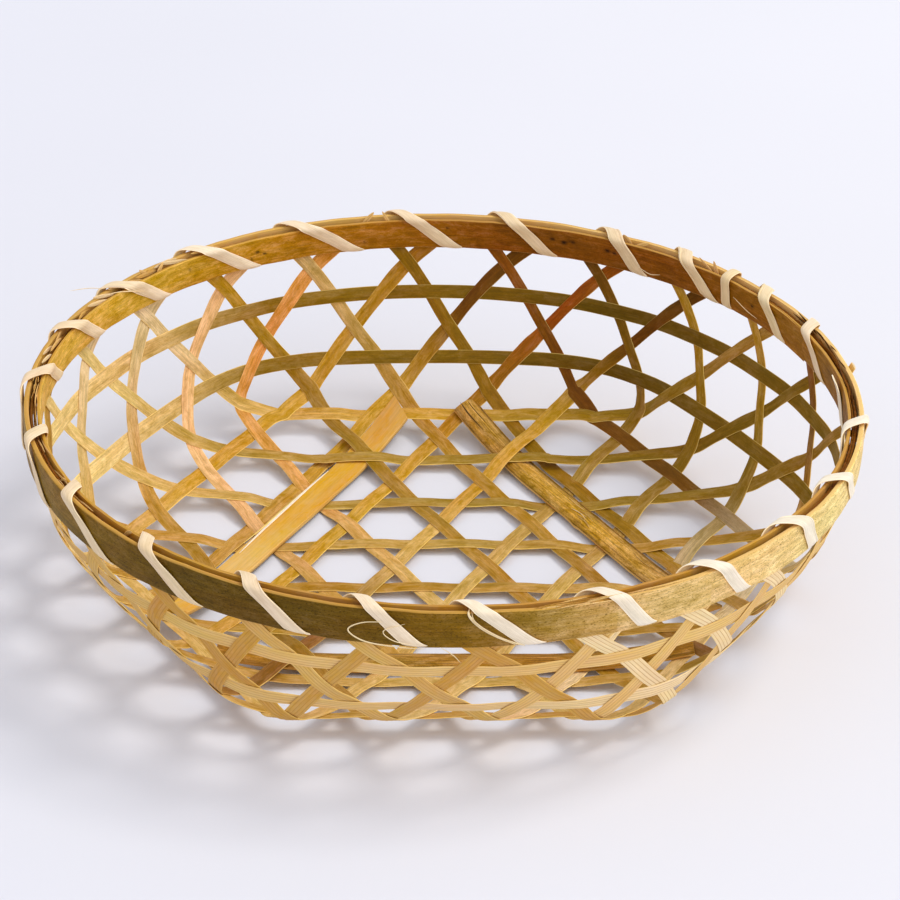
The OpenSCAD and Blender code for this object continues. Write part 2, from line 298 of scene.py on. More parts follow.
def bridge_share(angle, offset, v, flat, end):
    """How far a strip has left the pressed weave to pass over a slat, from 0 to 1."""
    share = np.zeros_like(v)
    for family, row, place in BRIDGES:
        if (family, row) == (angle, offset):
            middle = place + math.copysign(BRIDGE_SHIFT, place)
            share = np.maximum(share, 1 - smooth(np.abs(v - middle), flat, end))
    return share


# ---------- meshes ----------
# What the material reads from each point: place along and across the grain and a seed; shares of skin, cut
# edge (painted brighter, partly as a painted highlight) and groove; colour of the skin; colour of the pith
ATTRIBUTES = {"grain": "FLOAT_VECTOR", "face": "FLOAT_VECTOR", "tone": "FLOAT_COLOR", "pith": "FLOAT_COLOR"}
SHARP = math.radians(38)
# These keep apart the noise of a band's two faces and of any two bands
PITH_SHIFT = 40
SEED_SPREAD = 7.31
# Shoulder and foot of a band's rounded edge: shares of the edge's width in and of the thickness down
SHOULDER = (0.35, 0.08)
FOOT = (0.2, 0.15)


class Shape:
    """Collects swept bands and becomes one mesh object with the attributes above."""

    def __init__(self):
        self.points, self.faces, self.count = [], [], 0
        self.data = {key: [] for key in ATTRIBUTES}

    def add(self, grid, closed, **values):
        rings, corners = grid.shape[:2]
        index = self.count + np.arange(rings * corners).reshape(rings, corners)
        ahead = np.roll(index, -1, 0) if closed else index[1:]
        here = index if closed else index[:-1]
        quads = np.stack([here, np.roll(here, -1, 1), np.roll(ahead, -1, 1), ahead], -1).reshape(-1, 4)
        self.faces += quads.tolist()
        if not closed:
            self.faces += [index[0, ::-1].tolist(), index[-1].tolist()]
        self.points.append(grid.reshape(-1, 3))
        for key in ATTRIBUTES:
            self.data[key].append(np.broadcast_to(values[key], grid.shape).reshape(-1, 3))
        self.count += rings * corners

    def build(self, name, material, node, slot):
        mesh = bpy.data.meshes.new(name)
        mesh.from_pydata((np.concatenate(self.points) * MM).tolist(), [], self.faces)
        for key, kind in ATTRIBUTES.items():
            values = np.concatenate(self.data[key]).astype(np.float32)
            if kind == "FLOAT_COLOR":
                values = np.concatenate([values, np.ones((len(values), 1), np.float32)], 1)
            layer = mesh.attributes.new(key, kind, "POINT")
            layer.data.foreach_set("color" if kind == "FLOAT_COLOR" else "vector", values.ravel())
        mesh.polygons.foreach_set("use_smooth", [True] * len(mesh.polygons))
        mesh.set_sharp_from_angle(angle=SHARP)
        mesh.materials.append(material)
        piece = add_object(name, mesh)
        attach(piece, "root")
        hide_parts(node)


def path_length(centre):
    steps = np.linalg.norm(np.diff(centre, axis=0), axis=1)
    return np.concatenate([[0], np.cumsum(steps)])


def sweep(shape, centre, across, up, section, tone, pith, seed, closed=False, wide=1, thick=1, shear=None):
    """Adds a band. section lists its corners: place across, height, shares of skin, edge and groove."""
    section = np.asarray(section, float)
    wide = np.broadcast_to(wide, len(centre))[:, None, None]
    thick = np.broadcast_to(thick, len(centre))[:, None, None]
    sideways, height = section[None, :, :1], section[None, :, 1:2]
    grid = centre[:, None] + across[:, None] * sideways * wide + up[:, None] * height * thick
    if shear is not None:
        grid = grid + np.cross(up, across)[:, None] * sideways * shear[:, None, None]
    grain = np.empty(grid.shape)
    grain[..., 0] = path_length(centre)[:, None]
    grain[..., 1] = section[None, :, 0] * wide[..., 0] + PITH_SHIFT * (section[None, :, 2] < 0.5)
    grain[..., 2] = seed * SEED_SPREAD
    tone = tone if tone.ndim == 3 else tone[:, None]
    shape.add(grid, closed, grain=grain, face=section[None, :, 2:5], tone=tone, pith=pith[:, None])


def mirrored(edge):
    """Corners of a band's other edge."""
    return [(-x, *rest) for x, *rest in edge[::-1]]


def split_section(width, height, crown, edge, groove=0.025, grooves=4, top_points=7):
    """Cross-section of split bamboo: crowned skin above, fluted pith below, rounded edges."""
    half, top = width / 2, height / 2
    inner = half - edge
    above = [(x, top - crown * (x / half) ** 2, 1, 0, 0) for x in np.linspace(-inner, inner, top_points)]
    right = [(half - edge * SHOULDER[0], top - crown - height * SHOULDER[1], 1, 0.9, 0), (half, 0, 0.5, 1, 0),
             (half - edge * FOOT[0], -top + height * FOOT[1], 0, 0.7, 0)]
    places = np.linspace(inner, -inner, 4 * grooves + 1)
    below = [(x, -top + groove * (k % 4 == 2), 0, 0, float(k % 4 == 2)) for k, x in enumerate(places)]
    return above + right + below + mirrored(right)


def frame_along(centre, normal, closed=False):
    """Unit vectors across the band and out of its face at each point of its middle line."""
    if closed:
        direction = np.roll(centre, -1, 0) - np.roll(centre, 1, 0)
    else:
        direction = np.gradient(centre, axis=0)
    across = unit(np.cross(direction, normal))
    return across, unit(np.cross(across, direction))


def ramp(tones, x):
    """Colour along x from 0 to 1 through the named tones, evenly spaced."""
    table = np.array([linear(TONES[tone]) for tone in tones.split()])
    places = np.linspace(0, 1, len(table))
    return np.stack([np.interp(x, places, table[:, k]) for k in range(3)], -1)


# ---------- colours ----------
TONES = {
    "ivory": "#fbeed6", "cream": "#f6dcab", "wheat": "#e8c07c", "straw": "#dab065", "lemon": "#efd27a",
    "splint": "#fde8ca", "flax": "#f3d8b0", "sunny": "#fbe093", "glow": "#fbd48c", "brass": "#e6b648",
    "honey": "#cb9a4c", "gold": "#d3a040", "reed": "#c49c50", "sedge": "#ae8a3c", "caramel": "#c8882a",
    "peach": "#f8c48a", "apricot": "#e4a35c", "tangerine": "#f2a657", "fibre": "#b5772a", "toffee": "#ad761e",
    "ochre": "#b98a3a", "olive": "#9f7a2c", "kelp": "#9a6f12", "bronze": "#8d6814", "khaki": "#8a6208",
    "moss": "#755718", "bark": "#6e510e", "brown": "#93632a", "rust": "#a25f22", "ember": "#a85a10",
    "russet": "#945404", "sienna": "#7c4c00", "umber": "#7a4a04", "deep": "#3c2408",
}
# Tone of each strip's skin along its length, from its lowest v on. Partly the strips' own colours and partly
# painted light: ends in the left and back-left walls are painted lighter, those in the back-right wall
# darker.
SKINS = {
    "across": [
        "honey", "honey ochre straw ochre honey", "honey honey olive ochre honey",
        "ochre ochre ochre straw cream", "olive honey reed ochre ochre", "sunny straw sedge olive ochre",
        "sunny reed sedge bronze olive", "cream straw gold olive honey",
    ],
    "right": [
        "cream straw straw straw honey", "cream honey khaki honey honey", "peach peach honey honey straw",
        "tangerine apricot straw straw straw", "gold olive ochre ochre straw",
        "wheat ochre ochre brown straw", "kelp kelp kelp honey wheat", "rust sienna sienna cream wheat",
    ],
    "left": [
        "honey honey honey wheat wheat cream honey brown rust", "honey peach cream olive gold",
        "honey wheat straw bronze gold", "ochre straw straw olive umber",
        "honey honey brown brown straw gold gold umber umber",
        "honey honey honey gold gold gold toffee ember ember",
        "straw straw honey honey honey gold gold umber sienna", "straw wheat gold gold toffee",
    ],
}
# Tone of each strip's pith, in the same order; the cream at the front-right ends is partly painted light,
# brighter where the light falls
PITHS = {
    "across": ["straw wheat", "wheat", "wheat straw", "straw wheat", "straw", "straw", "wheat straw",
               "wheat straw"],
    "right": ["wheat honey", "wheat honey", "straw wheat", "straw wheat", "straw cream", "straw cream",
              "straw cream", "straw honey"],
    "left": ["honey straw", "straw", "straw wheat", "honey straw", "honey straw", "honey straw", "straw",
             "wheat straw"],
}


# ---------- materials ----------
# Stretch of each noise in the bamboo: along the band, across it, from band to band
LONG_FIBRES = (0.05, 2.2, 1.0)
FINE_FIBRES = (0.25, 8.0, 1.0)
MOTTLE = (0.16, 0.42, 1.0)
BLOTCH = (0.03, 0.12, 1.0)
DOTS = (1.3, 2.6, 1.0)
EDGE_MIX = 0.5
BUMP_STRENGTH = 0.45
BUMP_DEPTH = 0.12 * MM


class Tree:
    """A material's node tree, with short calls for the nodes used here."""

    def __init__(self, name):
        self.material = bpy.data.materials.new(name)
        self.material.use_nodes = True
        self.nodes = self.material.node_tree.nodes
        self.links = self.material.node_tree.links

    def feed(self, node, inputs):
        for key, value in inputs.items():
            if isinstance(value, bpy.types.NodeSocket):
                self.links.new(value, node.inputs[key])
            else:
                node.inputs[key].default_value = value

    def node(self, kind, inputs=None, **settings):
        made = self.nodes.new(kind)
        for key, value in settings.items():
            setattr(made, key, value)
        self.feed(made, inputs or {})
        return made

    def shader(self, inputs):
        self.feed(self.nodes["Principled BSDF"], inputs)

    def attribute(self, name, output="Vector"):
        return self.node("ShaderNodeAttribute", attribute_name=name).outputs[output]

    def math(self, operation, a, b):
        return self.node("ShaderNodeMath", {0: a, 1: b}, operation=operation).outputs[0]

    def times(self, a, b):
        return self.math("MULTIPLY", a, b)

    def ranged(self, value, low, high, to_low=0.0, to_high=1.0):
        inputs = {"Value": value, "From Min": low, "From Max": high, "To Min": to_low, "To Max": to_high}
        return self.node("ShaderNodeMapRange", inputs, clamp=True).outputs["Result"]

    def noise(self, vector, stretch, detail=3.0, rough=0.55, distortion=0.0):
        scaled = self.node("ShaderNodeVectorMath", {0: vector, 1: stretch}, operation="MULTIPLY").outputs[0]
        inputs = {"Vector": scaled, "Scale": 1.0, "Detail": detail, "Roughness": rough,
                  "Distortion": distortion}
        return self.node("ShaderNodeTexNoise", inputs).outputs["Fac"]

    def mix(self, factor, a, b):
        return self.node("ShaderNodeMix", {0: factor, 6: a, 7: b}, data_type="RGBA").outputs[2]

    def shade(self, colour, value, saturation=1.0, hue=0.5):
        inputs = {"Color": colour, "Value": value, "Saturation": saturation, "Hue": hue}
        return self.node("ShaderNodeHueSaturation", inputs).outputs["Color"]


def rgba(tone):
    return (*linear(TONES[tone]), 1.0)


def bamboo(name, streaks=1.0, mottling=1.0, lines=1.0, specks=0.3, stains=0.4, gloss=0.44, edge="lemon",
           shine=0.12):
    """Split bamboo: streaked skin with specks, fluted pith with dark fibre lines, bright cut edges that are
    partly the paler cut fibre and partly a painted highlight.
    """
    tree = Tree(name)
    grain = tree.attribute("grain")
    face = tree.node("ShaderNodeSeparateXYZ", {0: tree.attribute("face")})
    skin_share, edge_and_highlight_share, groove_share = face.outputs
    tone = tree.attribute("tone", "Color")
    pith = tree.attribute("pith", "Color")
    ranged, times, mix, shade = tree.ranged, tree.times, tree.mix, tree.shade

    long_fibres = tree.noise(grain, LONG_FIBRES, detail=4.0, rough=0.6)
    fine_fibres = tree.noise(grain, FINE_FIBRES, rough=0.6)
    mottle = tree.noise(grain, MOTTLE, detail=5.0, rough=0.68, distortion=0.5)
    blotch = tree.noise(grain, BLOTCH)
    dots = tree.noise(grain, DOTS, detail=2.0, rough=0.7)

    fibre_value = ranged(long_fibres, 0.32, 0.68, 0.96 - 0.20 * streaks, 0.96 + 0.15 * streaks)
    fine_value = ranged(fine_fibres, 0.3, 0.7, 1 - 0.09 * streaks, 1 + 0.08 * streaks)
    mottle_value = ranged(mottle, 0.32, 0.68, 0.97 - 0.26 * mottling, 0.97 + 0.17 * mottling)
    value = times(times(fibre_value, fine_value), mottle_value)
    hue = ranged(blotch, 0.3, 0.7, 0.492, 0.508)
    skin_colour = shade(tone, value, ranged(mottle, 0.3, 0.7, 1.13, 0.92), hue)
    stain = ranged(blotch, 0.54, 0.70, 0.0, stains)
    skin_colour = mix(stain, skin_colour, shade(skin_colour, 0.62, 1.12, 0.492))
    speck = ranged(dots, 0.57, 0.66, 0.0, specks)
    skin_colour = mix(speck, skin_colour, shade(skin_colour, 0.38, 1.1))
    fleck = ranged(dots, 0.42, 0.34, 0.0, specks * 0.7)
    skin_colour = mix(fleck, skin_colour, shade(skin_colour, 1.25, 0.9))

    line = times(ranged(groove_share, 0.4, 0.9, 0.0, 0.68 * lines), ranged(mottle, 0.3, 0.6, 0.5, 1.0))
    pith_value = times(ranged(long_fibres, 0.3, 0.7, 0.93, 1.14), fine_value)
    pith_colour = shade(pith, pith_value, ranged(mottle, 0.3, 0.7, 1.1, 0.94), hue)
    pith_colour = mix(line, pith_colour, rgba("fibre"))

    body = mix(skin_share, pith_colour, skin_colour)
    # Cut edges painted brighter: partly the paler fibre of the cut, partly a painted highlight where light
    # catches the edge
    edge_and_highlight_colour = mix(EDGE_MIX, shade(body, 1.65), rgba(edge))
    edge_and_highlight_colour = shade(edge_and_highlight_colour, ranged(long_fibres, 0.3, 0.7, 0.82, 1.08))
    cut_edge_and_highlight = times(ranged(edge_and_highlight_share, 0.25, 0.85), ranged(blotch, 0.36, 0.58, 0.3, 1.0))

    skin_rough = ranged(fine_fibres, 0.3, 0.7, gloss, gloss + 0.16)
    pith_rough = ranged(long_fibres, 0.3, 0.7, 0.58, 0.72)
    rough = tree.node("ShaderNodeMix", {0: skin_share, 2: pith_rough, 3: skin_rough}, data_type="FLOAT")
    height = tree.math("ADD", times(long_fibres, 0.7), times(fine_fibres, 0.5))
    height = tree.math("SUBTRACT", height, times(line, 0.15))
    bump = tree.node("ShaderNodeBump", {"Height": height, "Strength": BUMP_STRENGTH, "Distance": BUMP_DEPTH})
    tree.shader({"Base Color": mix(cut_edge_and_highlight, body, edge_and_highlight_colour), "Roughness": rough.outputs[0],
                 "Normal": bump.outputs["Normal"], "Specular IOR Level": shine})
    return tree.material


weave_bamboo = bamboo("weave_bamboo")
hoop_bamboo = bamboo("wall_hoop_bamboo", streaks=0.9)
outer_bamboo = bamboo("rim_outer_bamboo", mottling=1.1, specks=0.9, stains=0.5, edge="honey")
inner_bamboo = bamboo("rim_inner_bamboo", mottling=1.3, specks=0.5, stains=0.6, gloss=0.38, edge="straw")
# The fillers' cut edges are painted dark rust, partly as painted shade of the recess between the hoops
filler_bamboo = bamboo("rim_filler_bamboo", streaks=1.8, edge="rust")
lash_bamboo = bamboo("lashing_bamboo", streaks=0.55, mottling=0.35, lines=0.25, specks=0.05, stains=0.12,
                     gloss=0.4, edge="ivory", shine=0.2)
slat_bamboo = bamboo("slat_bamboo", streaks=0.6, mottling=0.5, lines=0.2, specks=0.2, stains=0.2, gloss=0.36,
                     edge="wheat", shine=0.25)
culm_bamboo = bamboo("slat_culm_bamboo", streaks=2.3, mottling=1.6, specks=0.7, stains=0.5, gloss=0.32,
                     edge="straw")


# ---------- weaving strips ----------
# Painted highlight on the cut edges on a band's two sides: the edge on the side the light falls on is painted
# brighter
EDGE_HIGHLIGHT_SHARES = {"across": (0.45, 1.0), "right": (0.8, 0.5), "left": (0.45, 1.0)}
HOOP_EDGE_HIGHLIGHT_SHARES = (0.8, 0.8)


def strip_section(left, right):
    """The strips' section, with the painted highlight of its cut edges on the two sides."""
    section = split_section(STRIP_W, STRIP_T, STRIP_CROWN, STRIP_EDGE)
    return [(x, h, skin_share, edge_and_highlight_share * (left if x < 0 else right), groove)
            for x, h, skin_share, edge_and_highlight_share, groove in section]


def strip(family, number):
    angle, offset = FAMILIES[family], OFFSETS[number - 1]
    seed = 100 * list(FAMILIES).index(family) + number
    end = LAST_ROW - abs(offset) / 2
    v = np.linspace(-end, end, int(2 * end * PITCH / STRIP_STEP))
    rows, turn = strip_place(offset, v)
    normal = skin_normal(rows, turn + angle)
    lift = wave_height(v, round(offset - 0.5))
    lift = lift + BRIDGE_H * bridge_share(angle, offset, v, BRIDGE_FLAT, BRIDGE_END)
    free, pressed = free_skin(rows, turn + angle), skin(rows, turn + angle)
    loose = bridge_share(angle, offset, v, BRIDGE_END, BRIDGE_FREE)[:, None]
    centre = pressed + (free - pressed) * loose + lift[:, None] * normal
    across, up = frame_along(centre, normal)
    centre = centre + across * (STRIP_SWAY * wobble(v, seed))[:, None]
    rise = np.abs(unit(np.gradient(centre, axis=0))[:, 2])
    climb = smooth(rise, *CLIMB_RISE) * smooth(centre[:, 1], *CLIMB_Y)
    loss = climb * (CLIMB_LOSS + CLIMB_LOSS_RIGHT * smooth(centre[:, 0], *CLIMB_X))
    wide = 1 + STRIP_UNEVEN * wobble(v, seed + 1, (2.3, 1.1, 0.6)) - loss
    share = (v + end) / (2 * end)
    tone, pith = ramp(SKINS[family][number - 1], share), ramp(PITHS[family][number - 1], share)
    shape = Shape()
    sweep(shape, centre, across, up, strip_section(*EDGE_HIGHLIGHT_SHARES[family]), tone, pith, seed, wide=wide)
    shape.build(f"bamboo_strip_{family}_{number}", weave_bamboo, f"strip_{family}_{number}", "weave")


for family in FAMILIES:
    for number in range(1, len(OFFSETS) + 1):
        strip(family, number)


# ---------- hoops woven into the wall ----------
# Distance between rings in meshes; share of the width at places round the basket
HOOP_STEP = 0.03
HOOP_TURNS = [0, 60, 90, 120, 150, 200, 260, 360]
HOOP_WIDTHS = [1, 0.93, 0.88, 0.92, 1.1, 1.1, 1, 1]


def wall_hoop(name, row, parity, tones, piths, seed):
    x = np.arange(0, WRAPS, HOOP_STEP)
    turn = MESH_TURN * x
    s = np.full_like(turn, row)
    normal = skin_normal(s, turn)
    centre = skin(s, turn) + wave_height(x, parity)[:, None] * normal
    across, up = frame_along(centre, normal, closed=True)
    share = turn / 360
    wide = np.interp(turn, HOOP_TURNS, HOOP_WIDTHS)
    shape = Shape()
    sweep(shape, centre, across, up, strip_section(*HOOP_EDGE_HIGHLIGHT_SHARES), ramp(tones, share), ramp(piths, share),
          seed, closed=True, wide=wide)
    shape.build("bamboo_" + name, hoop_bamboo, name, "wall_hoop")


# Tones run counterclockwise from the right end; one of each row differs between the hoops
for name, row, parity, tone, pith, seed in (("wall_hoop_lower", LOWER_ROW, 1, "wheat", "cream", 401),
                                            ("wall_hoop_upper", UPPER_ROW, 0, "straw", "wheat", 402)):
    wall_hoop(name, row, parity,
              f"olive bronze moss bronze olive wheat sunny {tone} honey honey honey honey olive",
              f"wheat straw straw straw straw wheat {pith} wheat", seed)


# ---------- rim ----------
# Degrees between a hoop's rings, share of its thickness left at its pared ends, margin beside each edge
RIM_STEP = 0.3
PARED = 0.12
RIM_MARGIN = 0.3
# A hoop's sway in and out, that of its edge, the share its height varies by, and its drop below the top
RIM_SWAY = 0.15
RIM_EDGE_SWAY = 0.35
RIM_UNEVEN = 0.02
RIM_DROP = 0.12
# A dark mark's depth, how wide its core is, and its size across the grain
MARK_DEPTH = 0.92
MARK_CORE = 1.6
MARK_SQUASH = 0.55


def rim_point(angle, inset, z):
    angle, inset, z = np.broadcast_arrays(angle, inset, z)
    return np.stack([(RIM_LENGTH / 2 - inset) * cosd(angle), (RIM_WIDTH / 2 - inset) * sind(angle), z], -1)


def rim_outward(angle):
    return unit(np.stack([RIM_WIDTH * cosd(angle), RIM_LENGTH * sind(angle), np.zeros_like(angle)], -1))


def rim_along(angle):
    return unit(np.stack([-RIM_LENGTH * sind(angle), RIM_WIDTH * cosd(angle), np.zeros_like(angle)], -1))


def rim_band(inset, thickness, top, height, skin_out, seam, overlap, tones, piths, seed, ragged=0, marks=()):
    """A hoop bent round the rim, its two pared ends lying over each other at the seam.

    marks lists dark spots of the skin: angle, place from lower to upper edge (-1 to 1), size in mm."""
    run = np.arange(0, 360 + overlap, RIM_STEP)
    first = np.clip(run / overlap, PARED, 1)
    last = np.clip((360 + overlap - run) / overlap, PARED, 1)
    thin = np.minimum(first, last)
    outer_face = inset + np.where(run < 180, (1 - first) * thickness, 0)
    middle = outer_face + thin * thickness / 2 + RIM_SWAY * wobble(run, seed + 7, (61, 27, 11))
    edge_line = RIM_EDGE_SWAY * wobble(run, seed, (47, 19, 7))
    edge_line = edge_line + ragged * np.abs(wobble(run, seed + 3, (2.1, 0.9, 0.43)))
    tall = height * (1 + RIM_UNEVEN * wobble(run, seed + 1, (80, 31, 13)))
    centre = rim_point(seam + run, middle, top - height / 2 - RIM_DROP - np.abs(edge_line))
    outward = rim_outward(seam + run)
    up = outward if skin_out else -outward
    across = np.broadcast_to(UP, centre.shape) * (-1 if skin_out else 1)
    half, side = height / 2, thickness / 2
    flat = half - RIM_MARGIN
    crown = min(0.35, thickness * 0.3)
    skin_rows = [(x * flat, side - crown * x * x, 1, 0, 0) for x in np.linspace(-1, 1, 17)]
    pith_rows = [(x * flat, -side, 0, 0, 0) for x in np.linspace(1, -1, 9)]
    # The edge rows' cut-edge shares paint a thin bright line at the corner by the skin and less over the rest
    # of the top: partly the paler cut fibre, partly a painted highlight
    rim_edge = [(half - 0.1, side - crown - 0.05 * thickness, 0.9, 1, 0), (half, 0.3 * side, 0.5, 0.5, 0),
                (half, -0.5 * side, 0.2, 0.3, 0), (half - 0.08, -side + 0.06, 0, 0.4, 0)]
    section = skin_rows + rim_edge + pith_rows + mirrored(rim_edge)
    share = (run / 360) % 1.0
    place = np.array([row[0] for row in section]) * (-1 if skin_out else 1)
    tone = np.repeat(ramp(tones, share)[:, None], len(section), 1)
    for angle, level, size in marks:
        along = np.radians((seam + run - angle + 180) % 360 - 180) * RIM_LENGTH / 2
        beside = (place[None] - level * half) / (size * MARK_SQUASH)
        spot = np.exp(-(along[:, None] / size) ** 2 - beside ** 2)
        tone = tone * (1 - MARK_DEPTH * np.clip(spot * MARK_CORE, 0, 1))[..., None]
    shape = Shape()
    sweep(shape, centre, across, up, section, tone, ramp(piths, share), seed, wide=tall / height, thick=thin)
    return shape


def smooth_curve(points, steps=14):
    """Catmull-Rom curve through given points."""
    points = np.asarray(points, float)
    ends = np.concatenate([[2 * points[0] - points[1]], points, [2 * points[-1] - points[-2]]])
    x = np.linspace(0, 1, steps, endpoint=False)[:, None]
    parts = []
    for a, b, c, d in zip(ends, ends[1:], ends[2:], ends[3:]):
        square, cube = 2 * a - 5 * b + 4 * c - d, 3 * b - a - 3 * c + d
        parts.append(0.5 * (2 * b + (c - a) * x + square * x ** 2 + cube * x ** 3))
    return np.concatenate(parts + [points[-1:]])


def sliver(shape, centre, normal, width, thickness, tone, seed, blunt=0.15):
    """A thin splinter along a curve, tapered at both ends, of one tone."""
    across, up = frame_along(centre, normal)
    x = np.linspace(0, 1, len(centre))
    taper = np.maximum(blunt, np.sin(np.pi * np.clip(x, 0.02, 0.98)) ** 0.5)
    section = split_section(width, thickness, thickness * 0.2, width * 0.2, groove=0, grooves=1, top_points=3)
    colour = ramp(tone, x)
    sweep(shape, centre, across, up, section, colour, colour, seed, wide=taper, thick=taper)


def rim_sliver(shape, points, width, thickness, tone, seed):
    """A splinter through places of the rim: angle, inset from the outer face, drop below the top."""
    places = smooth_curve(points)
    centre = rim_point(places[:, 0], places[:, 1], RIM_TOP - places[:, 2])
    sliver(shape, centre, rim_outward(places[:, 0]), width, thickness, tone, seed)


# Tones run counterclockwise from the seam at 291 degrees; the pale glow and sunny ones at the front right are
# partly the hoop's own paler colour and partly a painted highlight where the light falls
outer = rim_band(0.0, OUTER_T, RIM_TOP, OUTER_H, True, 291.0, 14.0,
                 "wheat glow sunny glow sunny honey honey ochre ochre honey ochre olive ochre olive bronze "
                 "bark bark khaki straw",
                 "straw wheat straw honey honey", 501)
# Fibres torn loose along the scarf's outer end, lying almost along the rim's top edge
scarf = np.random.default_rng(91)
for k in range(12):
    start, reach = scarf.uniform(277, 287), scarf.uniform(3, 9)
    inset, drop = scarf.uniform(0.0, 1.8), scarf.uniform(-0.5, 0.9)
    lift = scarf.uniform(0.2, 1.3)
    points = [(start, inset, drop + 0.4), (start + reach * 0.4, inset - 0.2, drop - lift * 0.5),
              (start + reach, inset - scarf.uniform(0, 1.0), drop - lift)]
    rim_sliver(outer, points, scarf.uniform(0.25, 0.7), 0.25, "wheat" if k % 3 else "honey", 520 + k)
outer.build("rim_outer_hoop_bamboo", outer_bamboo, "rim_outer_hoop", "rim_outer")

inner = rim_band(OUTER_T + FILLER_ZONE, INNER_T, INNER_TOP, INNER_H, False, 20.0, 12.0,
                 "toffee russet russet caramel brass brass brass toffee rust rust rust brown toffee",
                 "honey ochre honey", 502,
                 marks=[(118.6, 0.1, 0.9), (117.4, -0.1, 0.7), (119.6, -0.3, 0.6), (71.5, 0.35, 0.9),
                        (69.6, 0.2, 1.1), (68.2, 0.3, 0.7), (62.4, 0.2, 1.0), (61.2, 0.15, 0.8),
                        (59.2, -0.1, 0.8), (101, -0.4, 0.5), (34.5, 0.1, 0.8), (88, 0.5, 0.5),
                        (131, 0.3, 0.6)])
inner.build("rim_inner_hoop_bamboo", inner_bamboo, "rim_inner_hoop", "rim_inner")

FILLER_CLEAR = (FILLER_ZONE - 2 * FILLER_T) / 3
# Each filler: layer from outside, drop below the rim's top, height, angle of its seam
FILLERS = {"outer": (0, 1.6, 2.4, 140.0), "inner": (1, 2.2, 1.8, 250.0)}
# Tones round the basket, counterclockwise from each filler's seam; the dark browns are partly the fillers'
# own colour and partly painted shade of the recess between the hoops
FILLER_TONES = {
    "outer": "straw brown umber rust sienna umber rust brown straw",
    "inner": "sienna umber rust umber rust brown sienna straw rust sienna",
}
# Cut ends that stand up out of the fillers: angle, height above the rim's top, lean round the rim, width
SPLINTERS = {
    "outer": [(139, 1.6, 1.4, 1.6), (100, 1.9, -1.2, 2.0), (60, 1.0, 1.0, 2.4), (44, 2.2, 0.8, 1.8),
              (46, 1.4, 2.0, 1.2)],
    "inner": [(97.5, 2.6, 0.9, 1.4), (136, 1.2, -1.0, 1.8), (57, 0.9, -1.8, 1.6), (205, 0.6, 1.6, 1.4),
              (222, 0.7, 1.2, 1.6)],
}
# Angles between which loose fibres start at the rim's two ends, and where the broad slivers start
FRAYED_ENDS = ((166, 210), (-14, 20))
# The umber and deep fibres are partly painted shade: dark slivers standing for the gaps between the ragged
# layers
FRAYED_TONES = ("wheat", "umber", "straw", "deep")
LEAF_START = 124
LEAF_STEP = 6
LEAF_TONES = ("wheat", "cream", "straw")


def filler(name):
    layer, drop, height, seam = FILLERS[name]
    inset = OUTER_T + FILLER_CLEAR + layer * (FILLER_T + FILLER_CLEAR)
    shape = rim_band(inset, FILLER_T, RIM_TOP - drop, height, layer == 0, seam, 8.0, FILLER_TONES[name],
                     "sienna umber rust", 510 + layer, ragged=0.8)
    for k, (angle, tall, lean, width) in enumerate(SPLINTERS[name]):
        points = [(angle - lean, inset + 0.5, 3.4), (angle - lean * 0.3, inset + 0.5, 1.0),
                  (angle + lean * 0.6, inset + 0.2, -tall)]
        rim_sliver(shape, points, width, 0.5, "wheat", 540 + 10 * layer + k)
    draw = np.random.default_rng(93 + layer)
    for k in range(16):
        start, reach = draw.uniform(*FRAYED_ENDS[k % 2]), draw.uniform(3, 8)
        place, low = inset + draw.uniform(-0.4, 1.4), draw.uniform(-0.3, 1.2)
        points = [(start, place, low + 0.8), (start + reach * 0.5, place + draw.uniform(-0.5, 0.5), low),
                  (start + reach, place + draw.uniform(-0.6, 0.6), low - draw.uniform(0.0, 0.9))]
        rim_sliver(shape, points, draw.uniform(0.3, 1.0), 0.3, FRAYED_TONES[k % 4], 560 + 20 * layer + k)
    for k in range(9):
        start, reach = LEAF_START + LEAF_STEP * k + draw.uniform(-2, 2), draw.uniform(3.5, 6.5)
        away = draw.uniform(-1.2, 1.2)
        points = [(start, inset - away, 1.5),
                  (start + reach * 0.5, inset + 0.3, 0.2 + draw.uniform(-0.3, 0.3)),
                  (start + reach, inset + 0.4 + away, -draw.uniform(0.2, 1.1))]
        rim_sliver(shape, points, draw.uniform(1.0, 1.9), 0.35, LEAF_TONES[k % 3], 600 + 20 * layer + k)
    shape.build(f"rim_filler_{name}_bamboo", filler_bamboo, f"rim_filler_{name}", "rim_filler")


for name in FILLERS:
    filler(name)


# ---------- lashing ----------
LASH_W = 4.3
LASH_T = 0.7
LASH_CROWN = 0.28
LASH_EDGE = 0.3
# Gap between the splint and the rim, and the extra gap where it arches over the top
LASH_GAP = 0.5
LASH_ARCH = 1.2
# Distance between rings, reach of the softened corners in rings, and share the width varies by
LASH_STEP = 0.4
LASH_SOFT = 5.5
LASH_UNEVEN = 0.12
# Shares of a wrap at which it crosses the rim's top and passes below it, turn of the open meshes, and the
# degrees it may move to reach one
LASH_TOP = -0.08
LASH_UNDER = 0.465
LASH_TWIST = 3.9
LASH_SEEK = 3
# Tones round the basket, counterclockwise from its right end
LASH_TONES = "splint cream flax flax splint flax flax flax splint ivory ivory ivory"
LASH_PITHS = "wheat cream"
# Angle at which each wrap crosses the rim's top
WRAP_TOPS = [8, 21.5, 33, 40.5, 49.5, 62, 79, 95, 112, 129, 145.5, 160,
             174.5, 191.5, 208, 225.5, 242.5, 258.5, 272, 290, 305.5, 322, 335.5, 352]
